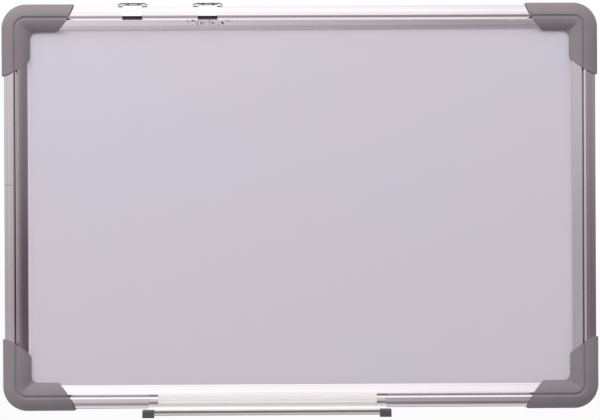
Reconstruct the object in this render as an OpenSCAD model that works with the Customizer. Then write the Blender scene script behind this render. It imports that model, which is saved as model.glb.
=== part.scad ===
// Framed dry-wipe board with moulded corner caps, two sliding hanging clips and a sliding pen tray.
// Axes: X to the right, Z up, and the writing surface faces -Y.
// Origin: the middle of the frame, on the wall plane that the corner caps' backs rest against.
// A section is drawn in (u, w): u runs inwards from a rail's outer edge, w forwards from its back.

/* [Frame] */
// Width of the frame, across the rails' outer edges
frame_w = 500; // [460:1:900]
// Height of the frame, across the rails' outer edges
frame_h = 340; // [240:1:640]

/* [Rails] */
// Width of a rail's face
rail_face = 20; // [19:0.5:24]
// Depth of a rail, from its back to its crest
rail_depth = 13; // [12.4:0.1:15]
// Height of a rail's outer side wall
rail_side = 8; // [7:0.25:9]
// Wall thickness of a rail
rail_wall = 1.2; // [1:0.1:1.4]
// Distance from a rail's outer edge to the middle of its front channel
channel_at = 10.5; // [9.6:0.1:10.5]
// Width of the front channel at its mouth
channel_mouth = 4; // [3.4:0.1:4.2]
// Width of the front channel at its floor
channel_floor = 0.9; // [0.8:0.1:1.2]
// Depth of the front channel
channel_depth = 1.2; // [1.1:0.1:1.4]
// Width of the groove in a rail's back
back_groove_w = 2.8; // [2.4:0.1:3.2]
// Depth of the groove in a rail's back
back_groove_depth = 0.9; // [0.7:0.1:1]
// Height of a rail's inner lip above the writing surface
lip_rise = 1.2; // [1.2:0.1:1.6]
// Distance that the back lip stops short of a rail's inner edge
back_lip_short = 2; // [1:0.5:3]

/* [Board] */
// Thickness of the lacquered steel writing sheet
sheet_t = 0.4; // [0.3:0.1:0.8]
// Thickness of the board's core
core_t = 4.2; // [3.6:0.1:4.6]
// Thickness of the sheet on the board's back
backing_t = 0.4; // [0.3:0.1:0.8]
// Distance from the rails' back to the board's back
board_recess = 3; // [2.6:0.1:3.4]
// Distance that the board reaches into a rail
board_lap = 7; // [5:0.25:7.2]
// Gap between the board's edge and a rail's web
board_gap = 0.8; // [0.6:0.1:1]

/* [Corner caps] */
// Wall of a cap beside a rail
cap_wall = 1.4; // [1.2:0.1:2]
// Thickness of a cap's back plate
cap_back = 1.5; // [1.4:0.1:2.5]
// Height of a cap's crest above a rail's crest
cap_rise = 1.6; // [1.4:0.1:2.5]
// Height of a cap's outer side wall above a rail's side wall
cap_shoulder = 1.7; // [1:0.1:2]
// Distance that a cap reaches past a rail's inner edge
cap_lap = 2.1; // [1.4:0.1:4]
// Height of a cap's inner edge above the writing surface
cap_edge = 1.3; // [0.8:0.1:2]
// Clearance between a cap and what it covers
cap_fit = 0.1; // [0.05:0.05:0.2]
// Radius of a cap's outer corner
cap_r = 20.6; // [18:0.1:21.4]
// Radius of a cap's inner corner
cap_inner_r = 5.6; // [2:0.1:8]
// Length of a cap's leg along its outer edge
cap_leg = 60.3; // [56:0.5:80]
// Radius of the arc that ends a leg
cap_end_r = 34.5; // [32:0.5:44]
// Distance of that arc's centre outside the cap's outer edge
cap_end_out = 4.9; // [3:0.1:7]
// Radius that blends a leg's end into its inner edge
cap_tip_r = 4; // [2:0.5:6]
// Width of the groove along a cap
cap_groove_w = 3.4; // [2:0.1:3.4]
// Depth of the groove along a cap
cap_groove_depth = 1; // [0.6:0.1:1.1]

/* [Corner keys and screws] */
// Thickness of the key inside a corner
key_t = 5; // [4:0.25:5.2]
// Reach of a key's arms from the frame's corner
key_reach = 52; // [48:1:56]
// Clearance between a key and a rail's chamber
key_fit = 0.15; // [0.1:0.05:0.25]
// Distance of a corner screw from the frame's corner
screw_at = 38; // [32:1:42]
// Radius of a corner screw's shank
screw_r = 1.4; // [1.2:0.1:1.6]
// Radius of a corner screw's head
screw_head_r = 2.8; // [2.4:0.1:3.1]
// Height of the head's cone
screw_cone = 1.2; // [1:0.1:1.3]
// Radial clearance round a shank
screw_fit = 0.1; // [0.05:0.05:0.2]
// Depth that a head is sunk below the cap's back
screw_sunk = 0.1; // [0.05:0.05:0.2]

/* [Hanging clips] */
// Width of a clip's front band and back leg
clip_w = 16.5; // [14:0.5:20]
// Width of the arched saddle over the rail
saddle_w = 25; // [23:0.5:30]
// Distance from the rail's back to the saddle's front edge
saddle_reach = 9; // [7:0.5:10]
// Thickness of a clip's spring steel
clip_t = 0.7; // [0.6:0.05:0.8]
// Height of the saddle's underside over the rail
saddle_gap = 1.6; // [1.4:0.1:2]
// Clearance between a clip or the tray and the rail that it slides on
slide_fit = 0.3; // [0.25:0.05:0.4]
// Length of a clip's back leg below the frame's top edge
clip_leg = 36; // [34:0.5:44]
// Radius of the keyhole's round part
keyhole_r = 4; // [3.5:0.1:4.5]
// Width of the keyhole's slot
keyhole_slot = 4; // [3:0.1:4.4]
// Distance from the slot's end to the round part's centre
keyhole_rise = 6.5; // [5:0.5:8]
// Distance of the left clip's middle from the frame's left edge
left_clip_at = 109.1; // [90:0.1:125]
// Distance of the right clip's middle from the frame's left edge
right_clip_at = 172.5; // [155:0.5:200]

/* [Pen tray] */
// Length of the tray's floor
tray_len = 200; // [150:1:240]
// Distance that the part clipped on the rail stops short of each end
tray_notch = 8; // [6:0.5:12]
// Distance of the tray's middle to the left of the frame's middle
tray_left = 28.5; // [0:0.5:40]
// Wall thickness of the tray
tray_t = 1.1; // [1:0.05:1.2]
// Distance that the flange reaches past the middle of the rail's channel
tray_flange_lap = 1.9; // [0.8:0.1:2.2]
// Height of the trough's rear wall above the rail's outer edge
tray_lip = 4.2; // [3.5:0.1:5]
// Distance from the rail's crest to the middle of the front bead
tray_depth = 29.5; // [24:0.5:40]
// Radius of the front bead
bead_r = 1.95; // [1.7:0.05:2.3]
// Radius of the trough's rear corner
trough_r = 3.6; // [2.5:0.1:4]
// Sag of the trough's floor
trough_sag = 0.8; // [0.4:0.1:1.2]
// Width of a tray end cap, along the tray
end_cap_w = 9.3; // [8:0.1:11]
// Height of a tray end cap
end_cap_h = 6.2; // [5.8:0.1:8]
// Depth of a tray end cap, front to back
end_cap_d = 8.6; // [7:0.1:12]
// Depth that the tray's end goes into its cap
end_cap_grip = 7; // [5:0.1:7.4]
// Clearance between the tray and its end caps
end_cap_fit = 0.15; // [0.1:0.05:0.2]
// Corner radius of a tray end cap
end_cap_r = 1.4; // [1:0.1:2]

/* [Hidden] */
$fn = 64;

far = 2 * (frame_w + frame_h);         // reach of a cutter that ends outside the object
trim_past = 0.05;                      // how far an arc's cutter reaches past the arc's end
quarter = 90;                          // a quarter turn

// Depths in a section
board_front = board_recess + backing_t + core_t + sheet_t;
lip_top = board_front + lip_rise;
cap_crest = rail_depth + cap_rise;
cap_side = rail_side + cap_shoulder;
back_y = -cap_back;                    // the rails' back plane
bend_steps = 8;                        // facets in a sheet's bend

// Rail section
back_lip_u = rail_face - back_lip_short;
board_u = rail_face - board_lap;
web_u = board_u - board_gap - rail_wall;  // outer face of the web between chamber and board slot
chamber_top = rail_depth - channel_depth - rail_wall;
rail_arc_r = arc_r(channel_at, rail_depth - rail_side);
rail_inner_arc_r = arc_r(rail_face - channel_at, rail_depth - lip_top);

// Corner caps
bend_r = cap_r - cap_wall;             // the caps' corner centre, from the rails' outer edges
cap_in_u = rail_face + cap_lap;
cap_arc_r = arc_r(channel_at + cap_wall, cap_crest - cap_side);
cap_inner_arc_r = arc_r(cap_in_u - channel_at, cap_crest - board_front - cap_edge);
rail_end = max(bend_r, rail_face);     // where a rail's cut end is, from the frame's corner
valley_len = 0.4 * cap_inner_r + 5;    // reach of the fillet between a cap's two inner bands
valley_slope = 0.4;                    // its rise over that reach

// Keys and screws
key_back = rail_wall + back_groove_depth + key_fit;
key_in_u = rail_wall + key_fit;
key_out_u = web_u - key_fit;
key_mid_u = (key_in_u + key_out_u) / 2;
screw_tip = key_back + key_t - rail_wall;

// Clips and tray, in a section of the rail that they grip
clip_r = rail_arc_r + slide_fit + clip_t / 2;  // the band's curve over the rail, along the sheet's middle
clip_back_w = -slide_fit - clip_t / 2;
clip_top_u = -slide_fit - clip_t / 2;
clip_bend_r = slide_fit + clip_t / 2;  // bends over the rail's edges, along the sheet's middle
band_low = 6;                          // where the band's curve starts, as an angle from the rail's crest
band_high = asin(channel_at / rail_arc_r) - 5;  // where it ends
band_heel = 0.6;                       // straight metal below the curve
catch_w = rail_depth - channel_depth + slide_fit + clip_t / 2 + 0.1;
catch_u = channel_at - 0.25;           // where the clip's catch bends back out of the channel
tip_rise = 1.9;                        // forward rise of the clip's flared tip
tip_run = 1.85;                        // length of that tip
crease_r = clip_t / 2 + 0.1;           // tight bends, along the sheet's middle
saddle_u = -saddle_gap - clip_t / 2;
saddle_back = 1;                       // distance from the rail's back to the saddle's back edge
weld_r = 1.3;                          // the two welds that join the saddle to the band
weld_at = 4.5;                         // their distance from the clip's middle
crease_w = back_groove_w / 2 - 0.2;    // half width of the crease that rides in the back groove
crease_rise = back_groove_depth - 0.25;
clip_leg_r = 3;                        // rounding of the back leg's lower corners
keyhole_end = 4;                       // metal left below the keyhole's round part
tray_front_w = rail_depth + slide_fit + tray_t / 2;
tray_back_w = -slide_fit - tray_t / 2;
tray_under_u = -slide_fit - tray_t / 2;
bead_w = rail_depth + tray_depth;
bead_u = tray_under_u + 1.2;
tray_step = 0.5;                       // how far the trough's rear wall stands in front of the flange
trough_mid_w = (tray_front_w + trough_r + bead_w) / 2;
trough_bend_r = 30;                    // the sag's curve
tray_catch_top = 1.7;                  // width of the tray's catch where it leaves the flange
tray_catch_tip = 0.7;                  // width of its tip
tray_hook = 2;                         // height of the rear hook above the groove
end_cap_low = 3.6;                     // how far an end cap reaches below the bead's middle
end_cap_front = 2.7;                   // how far it reaches in front of the bead's middle

// Radius of an arc that is level at its crest and falls by drop over run
function arc_r(run, drop) = (run * run + drop * drop) / (2 * drop);
function unit(v) = v / norm(v);
function left_of(v) = [-v[1], v[0]];
function from_angle(a) = [cos(a), sin(a)];

// Point over a rail's outer band, at an angle from its crest and a distance from the band's centre
function over_band(a, r) = [channel_at - r * sin(a), rail_depth - rail_arc_r + r * cos(a)];

// A sheet's middle line: [point, normal] pairs, with each inner corner of the path rounded by its radius
function bend(p0, p1, p2, r) =
    let (
        d0 = unit(p1 - p0),
        d1 = unit(p2 - p1),
        turn = atan2(cross(d0, d1), d0 * d1),
        side = turn > 0 ? 1 : -1,
        start = p1 - d0 * r * tan(abs(turn) / 2),
        centre = start + left_of(d0) * r * side,
        a0 = atan2(start[1] - centre[1], start[0] - centre[0])
    )
    [for (i = [0 : bend_steps])
        let (a = a0 + turn * i / bend_steps)
        [centre + from_angle(a) * r, -side * from_angle(a)]];

function middle_line(path, radii) =
    let (last = len(path) - 1)
    concat(
        [[path[0], left_of(unit(path[1] - path[0]))]],
        [for (i = [1 : last - 1]) each bend(path[i - 1], path[i], path[i + 1], radii[i - 1])],
        [[path[last], left_of(unit(path[last] - path[last - 1]))]]
    );

// A sheet of even thickness that follows a path
module sheet_section(path, radii, t) {
    line = middle_line(path, radii);
    near = [for (s = line) s[0] + s[1] * t / 2];
    away = [for (i = [len(line) - 1 : -1 : 0]) line[i][0] - line[i][1] * t / 2];
    polygon(concat(near, away));
}

// ---- placing ----

// Stands a section up as a bar of the given length along X, centred, at the bottom rail's place
module bar_x(length) {
    translate([-length / 2, back_y, 0])
        rotate([0, -quarter, 180])
            linear_extrude(length) children();
}

// Turns the bottom side to another side of the frame, half an extent away from the middle
module at_side(turn, half) {
    rotate([0, turn, 0]) translate([0, 0, -half]) children();
}

module at_bottom() { at_side(0, frame_h / 2) children(); }
module at_left() { at_side(quarter, frame_w / 2) children(); }
module at_top() { at_side(2 * quarter, frame_h / 2) children(); }
module at_right() { at_side(-quarter, frame_w / 2) children(); }

// A corner's own frame: X and Z run inwards along its two rails, and -Y is forwards from their backs
module at_corner(right, top) {
    turn = right ? (top ? 2 * quarter : -quarter) : (top ? quarter : 0);
    translate([(right ? 1 : -1) * frame_w / 2, back_y, (top ? 1 : -1) * frame_h / 2])
        rotate([0, turn, 0]) children();
}

// The corner's leg along X and its mirror image along Z
module both_legs() {
    children();
    mirror([1, 0, -1]) children();
}

// A section along the corner's leg, from one distance to another
module leg_bar(from, to) {
    translate([from, 0, 0]) rotate([0, -quarter, 180]) linear_extrude(to - from) children();
}

// A section swept round the corner, about the caps' corner centre
module corner_sweep() {
    translate([bend_r, 0, bend_r])
        rotate([quarter, 0, 0])
            rotate([0, 0, 180])
                rotate_extrude(angle = quarter, $fn = 96)
                    intersection() {
                        translate([bend_r, 0]) mirror([1, 0]) children();
                        translate([0, -far]) square([far, 2 * far]);
                    }
}

// ---- sections ----

// What lies over an arc that is level at its crest (u, w) and falls over run to its outer side
module arc_trim(u, w, r, run, side_w) {
    difference() {
        translate([u - run - 1, side_w - trim_past]) square([run + 1, w - side_w + trim_past + 1]);
        translate([u, w - r]) circle(r, $fn = 128);
    }
}

// The same on the inner side of the channel
module inner_arc_trim(w, r, run, side_w) {
    translate([2 * channel_at, 0]) mirror([1, 0]) arc_trim(channel_at, w, r, run, side_w);
}

// A rail's full outline, grown by a clearance
module rail_outline(grow = 0) {
    difference() {
        polygon([
            [-grow, -grow], [-grow, rail_depth + grow], [rail_face + grow, rail_depth + grow],
            [rail_face + grow, board_recess], [back_lip_u, board_recess], [back_lip_u, -grow]
        ]);
        arc_trim(channel_at, rail_depth + grow, rail_arc_r + grow, channel_at + grow, rail_side);
        inner_arc_trim(rail_depth + grow, rail_inner_arc_r + grow, rail_face - channel_at + grow, lip_top);
    }
}

module rail_channel() {
    polygon([
        [channel_at - channel_mouth / 2, rail_depth + 1], [channel_at - channel_mouth / 2, rail_depth],
        [channel_at - channel_floor / 2, rail_depth - channel_depth],
        [channel_at + channel_floor / 2, rail_depth - channel_depth],
        [channel_at + channel_mouth / 2, rail_depth], [channel_at + channel_mouth / 2, rail_depth + 1]
    ]);
}

// The closed chamber for the corner key, with a ridge behind the back groove
module rail_chamber() {
    difference() {
        intersection() {
            translate([rail_wall, rail_wall]) square([web_u - rail_wall, chamber_top - rail_wall]);
            translate([channel_at, rail_depth - rail_arc_r]) circle(rail_arc_r - rail_wall, $fn = 128);
        }
        polygon([
            [channel_at - back_groove_w / 2 - rail_wall / 2, 0],
            [channel_at - rail_wall / 2, rail_wall + back_groove_depth],
            [web_u + 1, rail_wall + back_groove_depth], [web_u + 1, 0]
        ]);
    }
}

// The slot that holds the board, open inwards, with the hollows behind its two lips
module board_slot() {
    slot_u = web_u + rail_wall;
    translate([slot_u, board_recess]) square([far, board_front - board_recess]);
    intersection() {
        translate([slot_u, board_front - 0.01])
            square([rail_face - rail_wall - slot_u, rail_depth - board_front]);
        translate([channel_at, rail_depth - rail_inner_arc_r])
            circle(rail_inner_arc_r - rail_wall, $fn = 128);
    }
    translate([slot_u, rail_wall])
        square([back_lip_u - rail_wall - slot_u, board_recess - rail_wall + 0.01]);
}

module rail_section() {
    difference() {
        rail_outline();
        rail_channel();
        rail_chamber();
        board_slot();
        polygon([
            [channel_at - back_groove_w / 2, 0], [channel_at, back_groove_depth],
            [channel_at + back_groove_w / 2, 0], [channel_at, -1]
        ]);
    }
}

// A cap's outline round a rail: side wall, outer band, groove, inner band
module cap_outline() {
    difference() {
        polygon([
            [-cap_wall, -cap_back], [-cap_wall, cap_crest], [cap_in_u, cap_crest],
            [cap_in_u, board_front], [back_lip_u, board_front], [back_lip_u, -cap_back]
        ]);
        arc_trim(channel_at, cap_crest, cap_arc_r, channel_at + cap_wall, cap_side);
        inner_arc_trim(cap_crest, cap_inner_arc_r, cap_in_u - channel_at, board_front + cap_edge);
        polygon([
            [channel_at - 7 / 8 * cap_groove_w, cap_crest + cap_groove_depth],
            [channel_at - cap_groove_w / 8, cap_crest - cap_groove_depth],
            [channel_at + cap_groove_w / 8, cap_crest - cap_groove_depth],
            [channel_at + 7 / 8 * cap_groove_w, cap_crest + cap_groove_depth]
        ]);
    }
}

// ---- board ----

module board_layer(back_w, t) {
    w = frame_w - 2 * board_u;
    h = frame_h - 2 * board_u;
    translate([-w / 2, back_y - back_w - t, -h / 2]) cube([w, t, h]);
}

module writing_sheet() { color("white") board_layer(board_front - sheet_t, sheet_t); }
module board_core() { color("burlywood") board_layer(board_recess + backing_t, core_t); }
module back_sheet() { color("gainsboro") board_layer(board_recess, backing_t); }

// ---- frame ----

// Holes in a rail's back wall for the corner screws, near both of its ends
module rail(side_length) {
    length = side_length - 2 * rail_end;
    difference() {
        bar_x(length) rail_section();
        for (side = [-1, 1])
            translate([side * (side_length / 2 - screw_at), back_y + 1, key_mid_u])
                rotate([quarter, 0, 0])
                    cylinder(h = 1 + rail_wall + screw_fit, r = screw_r + 2 * screw_fit, $fn = 32);
    }
}

module top_rail() { color("silver") at_top() rail(frame_w); }
module bottom_rail() { color("silver") at_bottom() rail(frame_w); }
module left_rail() { color("silver") at_left() rail(frame_h); }
module right_rail() { color("silver") at_right() rail(frame_h); }

// Plan of a cap's leg, seen from the front: its end is an arc that a small radius
// blends into the inner edge
module leg_plan() {
    arc_x = sqrt(pow(cap_end_r, 2) - pow(cap_end_out, 2));
    tip_rise = cap_in_u + cap_wall - cap_tip_r + cap_end_out;
    tip_x = sqrt(pow(cap_end_r - cap_tip_r, 2) - pow(tip_rise, 2));
    meet = cap_end_r * tip_rise / (cap_end_r - cap_tip_r);
    arc_at = cap_leg - cap_wall - arc_x;
    translate([0, -cap_wall - 1]) square([arc_at + tip_x, cap_in_u + cap_wall + 1]);
    intersection() {
        translate([arc_at, -cap_wall - cap_end_out]) circle(cap_end_r, $fn = 180);
        translate([arc_at, -cap_wall - 1]) square([far, meet - cap_end_out + 1]);
    }
    translate([arc_at + tip_x, cap_in_u - cap_tip_r]) circle(cap_tip_r, $fn = 64);
}

module cap_leg() {
    intersection() {
        leg_bar(bend_r, cap_leg + 1) cap_outline();
        translate([0, cap_back + 1, 0])
            rotate([quarter, 0, 0])
                linear_extrude(cap_crest + cap_back + 2) leg_plan();
    }
}

// Rounds the corner between the two legs' inner edges and fills the valley behind it
module cap_inner_corner() {
    translate([cap_in_u + cap_inner_r, -board_front, cap_in_u + cap_inner_r])
        rotate([quarter, 0, 0])
            rotate([0, 0, 180])
                rotate_extrude(angle = quarter, $fn = 96)
                    polygon([
                        [cap_inner_r, 0], [cap_inner_r, cap_edge],
                        [cap_inner_r + valley_len, cap_edge + valley_len * valley_slope],
                        [cap_inner_r + valley_len, 0]
                    ]);
}

// The screws' axes in a corner, one on each leg, pointing forwards from the rails' backs
module at_screws() {
    both_legs() translate([screw_at, 0, key_mid_u]) rotate([quarter, 0, 0]) children();
}

module screw_hole() {
    translate([0, 0, -cap_back - 1]) cylinder(h = cap_back + 2, r = screw_r + screw_fit, $fn = 32);
    translate([0, 0, -cap_back - 1]) cylinder(h = 1 + screw_sunk, r = screw_head_r + screw_fit, $fn = 32);
    translate([0, 0, -cap_back + screw_sunk])
        cylinder(h = screw_cone, r1 = screw_head_r + screw_fit, r2 = screw_r + screw_fit, $fn = 32);
}

module corner_cap(right, top) {
    color("gray") at_corner(right, top)
        difference() {
            union() {
                both_legs() cap_leg();
                corner_sweep() cap_outline();
                cap_inner_corner();
            }
            union() {
                both_legs() leg_bar(bend_r, cap_leg + 2) rail_outline(cap_fit);
                corner_sweep() rail_outline(cap_fit);
            }
            translate([board_u, -board_front, board_u])
                cube([far, board_front - board_recess, far]);
            at_screws() screw_hole();
        }
}

module corner_cap_top_left() { corner_cap(false, true); }
module corner_cap_top_right() { corner_cap(true, true); }
module corner_cap_bottom_left() { corner_cap(false, false); }
module corner_cap_bottom_right() { corner_cap(true, false); }

// Plan of the angled key that joins two rails inside their chambers
module key_plan() {
    difference() {
        polygon([
            [key_in_u, key_in_u], [key_reach, key_in_u], [key_reach, key_out_u],
            [key_out_u, key_out_u], [key_out_u, key_reach], [key_in_u, key_reach]
        ]);
        difference() {
            square(bend_r);
            translate([bend_r, bend_r]) circle(bend_r - key_in_u, $fn = 96);
        }
    }
}

module corner_key(right, top) {
    color("dimgray") at_corner(right, top)
        difference() {
            translate([0, -key_back, 0]) rotate([quarter, 0, 0]) linear_extrude(key_t) key_plan();
            at_screws() cylinder(h = far, r = screw_r + screw_fit, $fn = 32);
        }
}

module corner_key_top_left() { corner_key(false, true); }
module corner_key_top_right() { corner_key(true, true); }
module corner_key_bottom_left() { corner_key(false, false); }
module corner_key_bottom_right() { corner_key(true, false); }

// Countersunk screw with a cross recess
module corner_screw() {
    recess_w = screw_r / 2;
    recess_l = 2.2 * screw_r;
    translate([0, 0, -cap_back + screw_sunk])
        difference() {
            union() {
                cylinder(h = screw_cone, r1 = screw_head_r, r2 = screw_r, $fn = 32);
                cylinder(h = screw_tip + cap_back - screw_sunk, r = screw_r, $fn = 32);
            }
            for (turn = [0, quarter])
                rotate([0, 0, turn])
                    translate([-recess_l / 2, -recess_w / 2, -1])
                        cube([recess_l, recess_w, 1 + screw_cone / 2]);
        }
}

module corner_screws() {
    color("lightgray")
        for (right = [false, true], top = [false, true])
            at_corner(right, top) at_screws() corner_screw();
}

// ---- hanging clips ----

// Sheet from the flared tip, through the channel, over the outer band, the top and the back
module clip_section() {
    band_top = over_band(band_high, clip_r);
    sheet_section(
        [
            [catch_u + tip_run, catch_w + tip_rise],
            [catch_u, catch_w],
            over_band(band_low, clip_r) + from_angle(band_low) * band_heel,
            over_band((band_low + band_high) / 2, clip_r / cos((band_high - band_low) / 2)),
            band_top - from_angle(band_high) * (band_top[0] - clip_top_u) / cos(band_high),
            [clip_top_u, clip_back_w],
            [channel_at - crease_w, clip_back_w],
            [channel_at, clip_back_w + crease_rise],
            [channel_at + crease_w, clip_back_w],
            [clip_leg, clip_back_w]
        ],
        [crease_r, crease_r, clip_r, clip_bend_r, clip_bend_r, crease_r, crease_r, crease_r],
        clip_t
    );
}

// Front view of the saddle: level over the band, with its two wings curving down beside it
module saddle_arch() {
    run = (saddle_w - clip_w) / 2;
    inner_r = arc_r(run, saddle_gap - slide_fit);
    square([clip_w + 0.02, clip_t], center = true);
    for (side = [-1, 1])
        intersection() {
            translate([side * clip_w / 2, -clip_t / 2 - inner_r])
                difference() {
                    circle(inner_r + clip_t, $fn = 180);
                    circle(inner_r, $fn = 180);
                }
            translate([side > 0 ? clip_w / 2 : -saddle_w / 2, -inner_r]) square([run, 2 * inner_r]);
        }
}

module saddle() {
    translate([0, back_y - saddle_back, saddle_u])
        rotate([quarter, 0, 0])
            linear_extrude(saddle_reach - saddle_back) mirror([0, 1]) saddle_arch();
    for (side = [-1, 1])
        translate([side * weld_at, back_y - (saddle_back + saddle_reach) / 2, saddle_u])
            cylinder(h = clip_top_u - saddle_u, r = weld_r, $fn = 32);
}

// Keyhole through the back leg, and the rounding of the leg's lower corners
module clip_cuts() {
    hole_u = clip_leg - keyhole_end - keyhole_r;
    cut_y = back_y - clip_back_w + clip_t;  // behind the leg
    cut_h = 2 * clip_t;
    translate([0, cut_y, hole_u])
        rotate([quarter, 0, 0])
            cylinder(h = cut_h, r = keyhole_r, $fn = 64);
    translate([0, cut_y, hole_u - keyhole_rise])
        rotate([quarter, 0, 0])
            cylinder(h = cut_h, r = keyhole_slot / 2, $fn = 48);
    translate([-keyhole_slot / 2, cut_y - cut_h, hole_u - keyhole_rise])
        cube([keyhole_slot, cut_h, keyhole_rise]);
    for (side = [-1, 1])
        translate([side * (clip_w / 2 - clip_leg_r), cut_y, clip_leg - clip_leg_r])
            rotate([quarter, 0, 0])
                linear_extrude(cut_h)
                    difference() {
                        translate([side > 0 ? 0 : -clip_leg_r - 1, 0]) square(clip_leg_r + 1);
                        circle(clip_leg_r, $fn = 48);
                    }
}

// A clip on the top rail, at a distance from the frame's left edge
module hanging_clip(at) {
    color("whitesmoke")
        translate([at - frame_w / 2, 0, 0])
            at_top()
                difference() {
                    union() {
                        bar_x(clip_w) clip_section();
                        saddle();
                    }
                    clip_cuts();
                }
}

module left_hanging_clip() { hanging_clip(left_clip_at); }
module right_hanging_clip() { hanging_clip(right_clip_at); }

// ---- pen tray ----

// Flange that catches in the rail's channel, with the curved corner where the trough starts
module tray_flange_section() {
    sheet_section(
        [
            [channel_at + tray_flange_lap, tray_front_w],
            [tray_under_u, tray_front_w],
            [tray_under_u, tray_front_w + 1.2 * trough_r]
        ],
        [trough_r],
        tray_t
    );
    polygon([
        [channel_at + tray_t / 2, tray_front_w], [channel_at + tray_t / 2 - tray_catch_top, tray_front_w],
        [channel_at - tray_catch_tip / 2, rail_depth - channel_depth + 2 * slide_fit],
        [channel_at + tray_catch_tip / 2, rail_depth - channel_depth + 2 * slide_fit]
    ]);
}

// Plate under the rail, and the rear hook with its crease in the rail's back groove
module tray_hook_section() {
    sheet_section(
        [
            [tray_under_u, tray_front_w + trough_r],
            [tray_under_u, tray_back_w],
            [channel_at - crease_w, tray_back_w],
            [channel_at, tray_back_w + crease_rise],
            [channel_at + crease_w, tray_back_w],
            [channel_at + crease_w + tray_hook, tray_back_w]
        ],
        [for (i = [1 : 4]) tray_t / 2 + 0.1],
        tray_t
    );
}

// Rear wall, floor and front bead, grown by a clearance where an end cap takes them
module tray_floor_section(grow = 0) {
    sheet_section(
        [
            [tray_lip, tray_front_w + tray_step],
            [tray_under_u, tray_front_w + tray_step],
            [tray_under_u - trough_sag, trough_mid_w],
            [bead_u, bead_w]
        ],
        [trough_r, trough_bend_r],
        tray_t + 2 * grow
    );
    translate([bead_u, bead_w]) circle(bead_r + grow, $fn = 48);
}

module at_tray() {
    translate([-tray_left, 0, 0]) at_bottom() children();
}

module pen_tray() {
    color("silver")
        at_tray() {
            bar_x(tray_len - 2 * tray_notch) {
                tray_flange_section();
                tray_hook_section();
            }
            bar_x(tray_len) tray_floor_section();
        }
}

// Plug over the bead at one end of the tray: side is -1 for the left and 1 for the right
module tray_end_cap(side) {
    color("dimgray")
        at_tray()
            translate([side * (tray_len / 2 - end_cap_grip + end_cap_w / 2), 0, 0])
                difference() {
                    bar_x(end_cap_w)
                        translate([bead_u - end_cap_low, bead_w + end_cap_front - end_cap_d])
                            rounded_rectangle(end_cap_h, end_cap_d, end_cap_r);
                    translate([-side * (end_cap_w - end_cap_grip - end_cap_fit), 0, 0])
                        bar_x(end_cap_w) tray_floor_section(end_cap_fit);
                }
}

module rounded_rectangle(a, b, r) {
    translate([r, 0]) square([a - 2 * r, b]);
    translate([0, r]) square([a, b - 2 * r]);
    for (x = [r, a - r], y = [r, b - r])
        translate([x, y]) circle(r, $fn = 48);
}

module tray_end_cap_left() { tray_end_cap(-1); }
module tray_end_cap_right() { tray_end_cap(1); }

writing_sheet();
board_core();
back_sheet();
top_rail();
bottom_rail();
left_rail();
right_rail();
corner_cap_top_left();
corner_cap_top_right();
corner_cap_bottom_left();
corner_cap_bottom_right();
corner_key_top_left();
corner_key_top_right();
corner_key_bottom_left();
corner_key_bottom_right();
corner_screws();
left_hanging_clip();
right_hanging_clip();
pen_tray();
tray_end_cap_left();
tray_end_cap_right();
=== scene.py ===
# Looks of the framed dry-wipe board: finishes, edge rounding, studio light and camera.
import math

import bpy
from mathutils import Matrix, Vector


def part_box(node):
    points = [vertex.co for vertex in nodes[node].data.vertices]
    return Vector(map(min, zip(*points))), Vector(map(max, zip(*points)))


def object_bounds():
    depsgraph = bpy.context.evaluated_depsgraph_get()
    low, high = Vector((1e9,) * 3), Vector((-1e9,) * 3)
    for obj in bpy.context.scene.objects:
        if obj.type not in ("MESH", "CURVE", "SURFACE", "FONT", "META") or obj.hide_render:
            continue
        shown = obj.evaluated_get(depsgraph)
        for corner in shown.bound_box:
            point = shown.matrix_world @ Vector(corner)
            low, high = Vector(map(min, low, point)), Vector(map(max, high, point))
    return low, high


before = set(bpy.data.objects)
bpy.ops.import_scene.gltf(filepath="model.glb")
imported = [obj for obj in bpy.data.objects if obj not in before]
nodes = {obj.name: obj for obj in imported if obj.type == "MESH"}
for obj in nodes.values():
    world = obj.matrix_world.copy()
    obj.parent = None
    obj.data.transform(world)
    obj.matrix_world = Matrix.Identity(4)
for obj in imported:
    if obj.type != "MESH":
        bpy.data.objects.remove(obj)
cad_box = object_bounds()

MM = 0.001


def corners(node):
    """A node's lowest and highest corners at rest, in millimetres."""
    return [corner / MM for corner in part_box(node)]


# The rails' outer edges, from the frame's middle. All marks on the part are in millimetres.
HALF_W = corners("right_rail")[1].x
HALF_H = corners("top_rail")[1].z
CHANNEL_AT = 10.5      # the middle of the rails' front channel, from their outer edge


# ---- node helpers ----

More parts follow.
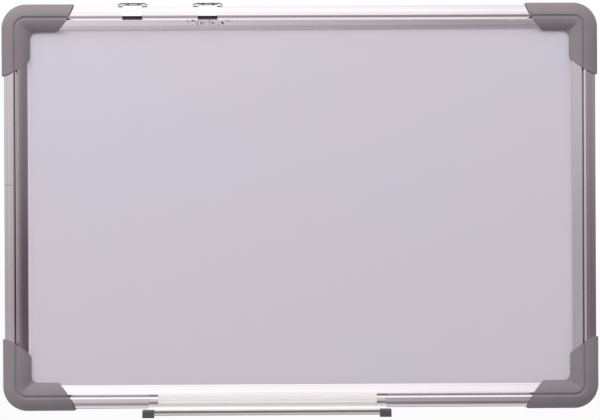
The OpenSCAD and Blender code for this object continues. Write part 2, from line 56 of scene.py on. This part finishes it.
class Nodes:
    """A node tree, with short calls that add and join its nodes."""

    def __init__(self, tree):
        self.tree = tree
        tree.nodes.clear()

    def add(self, kind, **settings):
        node = self.tree.nodes.new(kind)
        for name, value in settings.items():
            setattr(node, name, value)
        return node

    def join(self, source, target):
        self.tree.links.new(source, target)

    def math(self, operation, *values):
        """Works on sockets and numbers."""
        node = self.add("ShaderNodeMath", operation=operation)
        for source, target in zip(values, node.inputs):
            if isinstance(source, (int, float)):
                target.default_value = source
            else:
                self.join(source, target)
        return node.outputs[0]

    def both(self, first, second):
        """1 where two masks are 1."""
        return self.math("MULTIPLY", first, second)

    def ramp(self, value, low, high, to_low=0.0, to_high=1.0):
        """Goes smoothly from to_low, where a value is low, to to_high, where it is high."""
        node = self.add("ShaderNodeMapRange", interpolation_type="SMOOTHSTEP")
        node.inputs["From Min"].default_value = low
        node.inputs["From Max"].default_value = high
        node.inputs["To Min"].default_value = to_low
        node.inputs["To Max"].default_value = to_high
        self.join(value, node.inputs["Value"])
        return node.outputs["Result"]

    def within(self, value, low, high, soft):
        """1 where a value lies between two limits, with a soft edge."""
        rise = self.ramp(value, low - soft, low + soft)
        fall = self.ramp(value, high - soft, high + soft, 1.0, 0.0)
        return self.both(rise, fall)

    def mix(self, factor, first, second):
        """Blends two colours; each is a socket or an (r, g, b)."""
        node = self.add("ShaderNodeMix", data_type="RGBA")
        self.join(factor, node.inputs["Factor"])
        for source, target in ((first, node.inputs[6]), (second, node.inputs[7])):
            if isinstance(source, tuple):
                target.default_value = (*source, 1)
            else:
                self.join(source, target)
        return node.outputs[2]


class Finish(Nodes):
    """A material with one shader, and short calls that shape its look."""

    def __init__(self, name, color, roughness, metallic=0.0, edge=0.0):
        self.material = bpy.data.materials.new(name)
        self.material.use_nodes = True
        super().__init__(self.material.node_tree)
        self.output = self.add("ShaderNodeOutputMaterial")
        self.shader = self.add("ShaderNodeBsdfPrincipled")
        self.shader.inputs["Base Color"].default_value = (*color, 1)
        self.shader.inputs["Roughness"].default_value = roughness
        self.shader.inputs["Metallic"].default_value = metallic
        self.join(self.shader.outputs["BSDF"], self.output.inputs["Surface"])
        self.tone = color
        self.place = self.add("ShaderNodeTexCoord").outputs["Object"]
        if edge:
            rounding = self.add("ShaderNodeBevel", samples=4)
            rounding.inputs["Radius"].default_value = edge * MM
            self.join(rounding.outputs["Normal"], self.shader.inputs["Normal"])

    def stretched(self, scale):
        """The part's own coordinates in metres, times a scale for each axis."""
        mapping = self.add("ShaderNodeMapping")
        mapping.inputs["Scale"].default_value = scale
        self.join(self.place, mapping.inputs["Vector"])
        return mapping.outputs["Vector"]

    def axis(self, name):
        """One of the part's coordinates in millimetres."""
        split = self.add("ShaderNodeSeparateXYZ")
        self.join(self.stretched((1 / MM, 1 / MM, 1 / MM)), split.inputs["Vector"])
        return split.outputs[name]

    def past(self, name, place):
        """How far along an axis a point lies past a place, in millimetres."""
        return self.math("SUBTRACT", self.axis(name), place)

    def noise(self, scale, detail=2.0, rough=0.5):
        """Clouds with a scale for each axis, in cells per metre."""
        node = self.add("ShaderNodeTexNoise")
        node.inputs["Scale"].default_value = 1.0
        node.inputs["Detail"].default_value = detail
        node.inputs["Roughness"].default_value = rough
        self.join(self.stretched(scale), node.inputs["Vector"])
        return node.outputs["Fac"]

    def color(self, socket):
        self.tone = socket
        self.join(socket, self.shader.inputs["Base Color"])

    def stain_and_painted_light(self, mask, color):
        """Lays a colour over the present one where a mask is 1, for real marks and for painted light
        and shade alike.
        """
        self.color(self.mix(mask, self.tone, color))

    def bands(self, value, marks):
        """Lays soft-edged bands of painted shade; each mark is from, to, softness and colour."""
        for low, high, soft, color in marks:
            self.stain_and_painted_light(self.within(value, low, high, soft), color)

    def roughness(self, socket):
        self.join(socket, self.shader.inputs["Roughness"])

    def brushed(self, along, amount):
        """Stretches highlights across the brush lines that run along one axis."""
        self.shader.inputs["Anisotropic"].default_value = amount
        self.shader.inputs["Anisotropic Rotation"].default_value = 0.25
        lines = self.add("ShaderNodeCombineXYZ")
        lines.inputs[along].default_value = 1.0
        self.join(lines.outputs["Vector"], self.shader.inputs["Tangent"])

    def bump(self, height, distance):
        """Adds a height in metres to the normal; further calls stack on the earlier ones."""
        node = self.add("ShaderNodeBump")
        node.inputs["Strength"].default_value = 1.0
        node.inputs["Distance"].default_value = distance
        self.join(height, node.inputs["Height"])
        normal = self.shader.inputs["Normal"]
        if normal.is_linked:
            self.join(normal.links[0].from_socket, node.inputs["Normal"])
        self.join(node.outputs["Normal"], normal)


# ---- aluminium ----

ALUMINIUM = (0.86, 0.84, 0.86)
ALUMINIUM_TINT = (0.74, 0.7, 0.73)
TRAY_ALUMINIUM = (0.96, 0.95, 0.92)
TRAY_TINT = (0.86, 0.84, 0.81)


def drawn_aluminium(name, along, color, tint, metallic=1.0):
    """Anodised extrusion: fine die lines and slow bands that run along one axis."""
    finish = Finish(name, color, roughness=0.2, metallic=metallic, edge=0.2)

    def lines(across, lengthwise):
        """A noise scale for streaks: one value across the extrusion and one along it."""
        return tuple(lengthwise if axis == along else across for axis in "XYZ")

    fine = finish.noise(lines(420, 1.8), detail=3, rough=0.6)
    slow = finish.noise(lines(22, 5), detail=2)
    finish.color(finish.mix(finish.ramp(fine, 0.32, 0.68), tint, color))
    finish.roughness(finish.ramp(slow, 0.3, 0.7, 0.12, 0.2))
    finish.bump(fine, 0.02 * MM)
    finish.brushed(along, 0.4)
    return finish


def rail_aluminium(name, along, across, frame_half, painted_shade_half, painted_shade_shift, painted_shade_color):
    """The rails' aluminium, with a line of painted shade in the front channel.

    The line is twice the given half-width wide and lies the given shift up or right of the channel's
    middle.
    """
    finish = drawn_aluminium(name, along, ALUMINIUM, ALUMINIUM_TINT)
    channel = frame_half - CHANNEL_AT
    from_middle = finish.math("ABSOLUTE", finish.past(across, painted_shade_shift))
    # painted shade: the channel's shaded wall, darkened into the colour
    finish.stain_and_painted_light(finish.within(from_middle, channel - painted_shade_half, channel + painted_shade_half, 0.25), painted_shade_color)
    return finish


WEAR_REACH = 5                 # how far the worn flecks spread to both sides of the right clip
WEAR_UP = (-16.5, -12.4)       # from the frame's top edge

# Painted shade along the bottom rail, in darker bands: from, to, softness and colour, up from its
# outer edge
BOTTOM_RAIL_SHADE_BANDS = [
    (3.0, 5.2, 0.7, (0.5, 0.46, 0.48)),
    (-1.0, 0.6, 0.25, (0.2, 0.17, 0.18)),
]


def long_rails():
    """Top and bottom rails, with flecks on the top one where the right clip has worn it, and painted
    shade along the bottom one.
    """
    finish = rail_aluminium(
        "drawn_aluminium_x", "X", "Z", HALF_H,
        painted_shade_half=0.4, painted_shade_shift=0.3, painted_shade_color=(0.4, 0.36, 0.38))
    clip_low, clip_high = corners("right_hanging_clip")
    beside_clip = finish.within(
        finish.axis("X"), clip_low.x - WEAR_REACH, clip_high.x + WEAR_REACH, WEAR_REACH)
    inner_band = finish.within(finish.past("Z", HALF_H), *WEAR_UP, 0.5)
    flecks = finish.ramp(finish.noise((520, 520, 300), detail=2), 0.57, 0.64)
    worn = finish.both(finish.both(beside_clip, inner_band), flecks)
    finish.stain_and_painted_light(worn, (0.12, 0.1, 0.1))
    # painted shade in bands along the bottom rail
    finish.bands(finish.past("Z", -HALF_H), BOTTOM_RAIL_SHADE_BANDS)
    return finish.material


# Painted shade along the side rails, in darker bands: from, to, softness and colour, inwards from
# the outer edge
LEFT_RAIL_SHADE_BANDS = [
    (12.5, 21.0, 1.0, (0.56, 0.51, 0.54)),
]
RIGHT_RAIL_SHADE_BANDS = [
    (11.8, 21.0, 0.5, (0.7, 0.67, 0.73)),
    (8.4, 9.0, 0.2, (0.5, 0.46, 0.48)),
]
SCRATCH_INWARD = (0.5, 7.0)    # on the left rail
SCRATCH_HEIGHT = (19.2, 19.7)  # over the frame's middle
SCRATCH_SLOPE = 0.05


def short_rails():
    """Left and right rails; their inner bands carry painted shade and a scratch crosses the left
    one.
    """
    finish = rail_aluminium(
        "drawn_aluminium_z", "Z", "X", HALF_W,
        painted_shade_half=0.5, painted_shade_shift=-0.6, painted_shade_color=(0.2, 0.16, 0.18))
    from_left = finish.past("X", -HALF_W)
    from_right = finish.math("SUBTRACT", HALF_W, finish.axis("X"))
    # painted shade on the inner bands, and beside the right rail's channel
    finish.bands(from_left, LEFT_RAIL_SHADE_BANDS)
    finish.bands(from_right, RIGHT_RAIL_SHADE_BANDS)
    slant = finish.math("MULTIPLY_ADD", from_left, SCRATCH_SLOPE, finish.axis("Z"))
    outer_band = finish.within(from_left, *SCRATCH_INWARD, 0.5)
    scratch = finish.both(finish.within(slant, *SCRATCH_HEIGHT, 0.2), outer_band)
    finish.stain_and_painted_light(scratch, (0.42, 0.4, 0.41))
    return finish.material


# Painted shade along the tray, in darker bands: from, to, softness and colour, up from the frame's
# lower edge
TRAY_SHADE_BANDS = [
    (7.0, 8.0, 0.3, (0.8, 0.78, 0.78)),
    (1.3, 5.0, 0.3, (0.7, 0.68, 0.68)),
    (3.7, 4.3, 0.15, (0.55, 0.53, 0.54)),
    (-2.0, 0.1, 0.4, (0.6, 0.58, 0.58)),
]
BEAD_BACK = (4.05, 4.45)       # from the tray's front
BEAD_TOP = (0.0, 1.1)          # over the frame's lower edge


def tray_aluminium():
    """The tray's lighter satin aluminium, with painted shade in bands and a painted shadow line
    along the top of its front bead.
    """
    finish = drawn_aluminium("tray_aluminium", "X", TRAY_ALUMINIUM, TRAY_TINT, metallic=0.25)
    up = finish.past("Z", -HALF_H)
    # painted shade in bands along the tray
    finish.bands(up, TRAY_SHADE_BANDS)
    # painted shadow line along the top of the front bead
    bead = finish.ramp(finish.past("Y", corners("pen_tray")[0].y), *BEAD_BACK, 1.0, 0.0)
    finish.stain_and_painted_light(finish.both(bead, finish.ramp(up, *BEAD_TOP)), (0.1, 0.09, 0.09))
    finish.roughness(finish.ramp(finish.noise((8, 300, 300), detail=2), 0.3, 0.7, 0.22, 0.34))
    return finish.material


# ---- steel, plastic and board ----

# Painted light: the lacquer is brightened towards the top and the left rail against their shadow,
# from their inner edges
PAINTED_LIGHT_UP = (-2.8, 0.2)
PAINTED_LIGHT_RIGHT = (0.0, 2.6)


def lacquered_steel():
    """White lacquer that has greyed with use, with painted light beside the top and left rails
    against their shadow.
    """
    finish = Finish("white_lacquer", (0.62, 0.59, 0.66), roughness=0.3)
    cloud = finish.noise((5, 5, 6), detail=1)
    base = finish.mix(finish.ramp(cloud, 0.2, 0.8), (0.536, 0.512, 0.58), (0.545, 0.512, 0.565))
    speck = finish.noise((900, 900, 900), detail=1)
    finish.color(finish.mix(finish.ramp(speck, 0.8, 0.84), base, (0.3, 0.26, 0.3)))
    # painted light beside the top and left rails, lifting the shadow they cast
    top_painted_light = finish.ramp(finish.past("Z", corners("top_rail")[0].z), *PAINTED_LIGHT_UP)
    left_painted_light = finish.ramp(finish.past("X", corners("left_rail")[1].x), *PAINTED_LIGHT_RIGHT, 1.0, 0.0)
    finish.stain_and_painted_light(finish.math("MAXIMUM", top_painted_light, left_painted_light), (0.78, 0.745, 0.82))
    finish.roughness(finish.ramp(cloud, 0.3, 0.7, 0.28, 0.34))
    return finish.material


GREY_PLASTIC = (0.19, 0.167, 0.181)
GREY_WORN = (0.205, 0.183, 0.194)
DARK_PLASTIC = (0.055, 0.05, 0.055)
DARK_WORN = (0.065, 0.06, 0.065)


def moulded_plastic(name, color, worn, edge):
    """Matt moulded plastic with a fine grain and slightly worn patches."""
    finish = Finish(name, color, roughness=0.5, edge=edge)
    patch = finish.noise((45, 45, 45), detail=3)
    finish.color(finish.mix(finish.ramp(patch, 0.3, 0.7), color, worn))
    finish.roughness(finish.ramp(patch, 0.3, 0.7, 0.44, 0.56))
    finish.bump(finish.noise((2600, 2600, 2600), detail=2), 0.02 * MM)
    return finish.material


# The clips' painted shade: along Y from the wall, and up from the frame's top edge
LIP_Y = (-17, -12.4)
LIP_UP = (-15, -9.1)
LIP_FOLD_UP = (-11.6, -12.1)   # the lip is a little lighter below these
SADDLE_FRONT_Y = (-11.4, -10.3)
SADDLE_FRONT_UP = (0.4, 3.0)
SADDLE_BELOW_Y = (-11.4, -8.2)
SADDLE_BELOW_UP = (1.3, 1.9)


def spring_steel():
    """Bright plated steel, with painted shade on the clips' curled lips and their saddles' front
    edges.
    """
    finish = Finish("bright_spring_steel", (0.9, 0.89, 0.9), roughness=0.12, metallic=1.0, edge=0.15)
    depth, up = finish.axis("Y"), finish.past("Z", HALF_H)
    lip = finish.both(finish.within(depth, *LIP_Y, 0.1), finish.within(up, *LIP_UP, 0.12))
    front_edge_shade = finish.both(
        finish.within(depth, *SADDLE_FRONT_Y, 0.05), finish.within(up, *SADDLE_FRONT_UP, 0.05))
    below = finish.both(
        finish.within(depth, *SADDLE_BELOW_Y, 0.2), finish.within(up, *SADDLE_BELOW_UP, 0.05))
    # painted shade on the curled lips, a little lighter low on the fold
    finish.stain_and_painted_light(lip, (0.12, 0.1, 0.105))
    finish.stain_and_painted_light(finish.both(lip, finish.ramp(up, *LIP_FOLD_UP)), (0.2, 0.165, 0.175))
    # painted shade along the saddles' front edges and just below them
    finish.stain_and_painted_light(finish.math("MAXIMUM", front_edge_shade, below), (0.02, 0.016, 0.018))
    rub = finish.noise((500, 500, 60), detail=3)
    finish.roughness(finish.ramp(rub, 0.3, 0.75, 0.08, 0.18))
    return finish.material


def plated_steel(name):
    """Zinc plating with fine spots."""
    finish = Finish(name, (0.55, 0.54, 0.5), roughness=0.38, metallic=1.0, edge=0.15)
    spots = finish.noise((420, 420, 420), detail=3)
    finish.color(finish.mix(finish.ramp(spots, 0.35, 0.7), (0.5, 0.5, 0.48), (0.62, 0.61, 0.56)))
    finish.roughness(finish.ramp(spots, 0.3, 0.7, 0.3, 0.48))
    return finish.material


def fibreboard():
    """Raw board of pressed brown fibres."""
    finish = Finish("fibreboard", (0.42, 0.29, 0.17), roughness=0.85)
    fibres = finish.noise((900, 900, 900), detail=4, rough=0.7)
    finish.color(finish.mix(fibres, (0.33, 0.22, 0.12), (0.5, 0.36, 0.22)))
    finish.bump(fibres, 0.1 * MM)
    return finish.material


def backing():
    """Coated sheet with clouds of tone and faint roller lines."""
    finish = Finish("coated_backing", (0.5, 0.5, 0.52), roughness=0.45, metallic=0.6)
    roll = finish.noise((3, 60, 900), detail=2)
    cloud = finish.noise((5, 5, 5), detail=3)
    finish.color(finish.mix(finish.ramp(cloud, 0.3, 0.7), (0.45, 0.45, 0.47), (0.56, 0.56, 0.57)))
    finish.roughness(finish.ramp(roll, 0.3, 0.7, 0.38, 0.52))
    finish.bump(roll, 0.01 * MM)
    return finish.material


# ---- dressing the part ----

def named(words):
    """The node names that hold the given words."""
    return [name for name in nodes if words in name]


def dress(names, material):
    for name in names:
        slots = nodes[name].data.materials
        slots.clear()
        slots.append(material)


dress(["writing_sheet"], lacquered_steel())
dress(["board_core"], fibreboard())
dress(["back_sheet"], backing())
dress(["top_rail", "bottom_rail"], long_rails())
dress(["left_rail", "right_rail"], short_rails())
dress(["pen_tray"], tray_aluminium())
dress(named("corner_cap"), moulded_plastic("grey_plastic", GREY_PLASTIC, GREY_WORN, edge=0.6))
dress(named("end_cap"), moulded_plastic("dark_plastic", DARK_PLASTIC, DARK_WORN, edge=0.4))
dress(named("hanging_clip"), spring_steel())
dress(named("corner_key"), plated_steel("plated_keys"))
dress(["corner_screws"], plated_steel("plated_screws"))


# ---- stage ----

FLOOR_SIZE = 12        # metres
FLOOR_DROP = 0.12      # metres, from the object's lowest point to the floor
FLOOR_WHITE = 0.94     # how much of the floor's look is plain white to the camera


def stage_floor():
    """A pale floor below the object, white to the camera apart from the shadow on it."""
    level = cad_box[0].z - FLOOR_DROP
    bpy.ops.mesh.primitive_plane_add(size=FLOOR_SIZE, location=(0, 0, level))
    floor = bpy.context.object
    floor.name = "floor"
    floor.visible_glossy = False
    finish = Finish("pale_floor", (0.45, 0.44, 0.45), roughness=0.9)
    ray = finish.add("ShaderNodeLightPath")
    glow = finish.add("ShaderNodeEmission")
    blend = finish.add("ShaderNodeMixShader")
    whitened = finish.math("MULTIPLY", ray.outputs["Is Camera Ray"], FLOOR_WHITE)
    finish.join(whitened, blend.inputs["Fac"])
    finish.join(finish.shader.outputs["BSDF"], blend.inputs[1])
    finish.join(glow.outputs["Emission"], blend.inputs[2])
    finish.join(blend.outputs["Shader"], finish.output.inputs["Surface"])
    floor.data.materials.append(finish.material)


def soft_light(name, place, size, power):
    """A rectangular lamp that faces the frame's middle and is neither seen nor mirrored."""
    data = bpy.data.lights.new(name, "AREA")
    data.shape = "RECTANGLE"
    data.size, data.size_y = size
    data.energy = power
    light = bpy.data.objects.new(name, data)
    light.location = place
    light.rotation_euler = (-Vector(place)).to_track_quat("-Z", "Y").to_euler()
    light.visible_camera = False
    light.visible_glossy = False
    bpy.context.scene.collection.objects.link(light)


def mirrored_room(sky, side, depth, height):
    """The room that metal mirrors, from the three parts of a ray's direction."""
    to_right = sky.ramp(side, -0.28, 0.28)
    far_right = sky.ramp(side, -0.2, 0.7)

    # walls: darker to the right and just below eye level, with a bright strip lower down
    above_eye = sky.mix(far_right, (0.73, 0.69, 0.71), (0.38, 0.34, 0.36))
    below_eye = sky.mix(far_right, (0.46, 0.42, 0.44), (0.14, 0.09, 0.115))
    level = sky.mix(sky.ramp(height, -0.09, 0.09), below_eye, above_eye)
    low = sky.mix(to_right, (0.84, 0.8, 0.82), (0.36, 0.32, 0.35))
    plain_walls = sky.mix(sky.ramp(height, -0.26, -0.12), low, level)
    strip = sky.both(sky.ramp(height, -0.28, -0.26), sky.ramp(height, -0.18, -0.2))
    walls = sky.mix(strip, plain_walls, (1.5, 1.48, 1.5))

    # floor: light behind the board; like the walls before it, and shaded at the very bottom
    shade = sky.mix(to_right, (0.66, 0.62, 0.64), (0.32, 0.28, 0.3))
    front_floor = sky.mix(sky.ramp(height, -0.95, -0.7), shade, walls)
    floor = sky.mix(sky.ramp(depth, -0.3, 0.1), front_floor, (0.95, 0.94, 0.95))
    lower_half = sky.mix(sky.ramp(height, -0.75, -0.5), floor, walls)

    ceiling = sky.mix(sky.ramp(side, -0.1, 0.6), (1.28, 1.26, 1.28), (0.66, 0.64, 0.66))
    return sky.mix(sky.ramp(height, 0.1, 0.32), lower_half, ceiling)


def room():
    """White to the camera, the mirrored room to metal, and a soft fill light to all else."""
    world = bpy.data.worlds.new("room")
    bpy.context.scene.world = world
    world.use_nodes = True
    sky = Nodes(world.node_tree)
    toward = sky.add("ShaderNodeSeparateXYZ")
    sky.join(sky.add("ShaderNodeTexCoord").outputs["Generated"], toward.inputs["Vector"])
    side, depth, height = toward.outputs["X"], toward.outputs["Y"], toward.outputs["Z"]

    ray = sky.add("ShaderNodeLightPath")
    glossy, transmitted = ray.outputs["Is Glossy Ray"], ray.outputs["Is Transmission Ray"]
    mirrored = sky.math("MAXIMUM", glossy, transmitted)
    straight_behind = sky.ramp(depth, 0.8, 0.9)
    white = sky.math("MAXIMUM", ray.outputs["Is Camera Ray"], sky.both(mirrored, straight_behind))
    fill = sky.mix(sky.ramp(height, -0.6, 0.8), (0.22, 0.2, 0.22), (0.72, 0.7, 0.72))
    lit = sky.mix(mirrored, fill, mirrored_room(sky, side, depth, height))
    light = sky.add("ShaderNodeBackground")
    sky.join(sky.mix(white, lit, (1.0, 1.0, 1.0)), light.inputs["Color"])
    sky.join(light.outputs["Background"], sky.add("ShaderNodeOutputWorld").inputs["Surface"])


stage_floor()
room()
soft_light("key_light", place=(-0.6, -1.0, 1.6), size=(1.5, 1.0), power=30)
soft_light("right_light", place=(1.5, -1.0, 1.1), size=(1.0, 1.0), power=9)
soft_light("left_light", place=(-2.0, -1.0, 0.4), size=(1.0, 1.4), power=8)


# ---- camera ----

CAMERA_PLACE = (-0.0094, -1.2645, 0.0003)   # metres
CAMERA_TURN = (89.853, 0.261, -0.412)       # degrees
CAMERA_LENS = 89.05                         # millimetres


def camera():
    """A camera at the photograph's viewing angle."""
    data = bpy.data.cameras.new("camera")
    data.sensor_width = 36
    data.lens = CAMERA_LENS
    eye = bpy.data.objects.new("camera", data)
    eye.location = CAMERA_PLACE
    eye.rotation_euler = [math.radians(angle) for angle in CAMERA_TURN]
    bpy.context.scene.collection.objects.link(eye)
    bpy.context.scene.camera = eye


camera()
bpy.context.scene.view_settings.view_transform = "Standard"
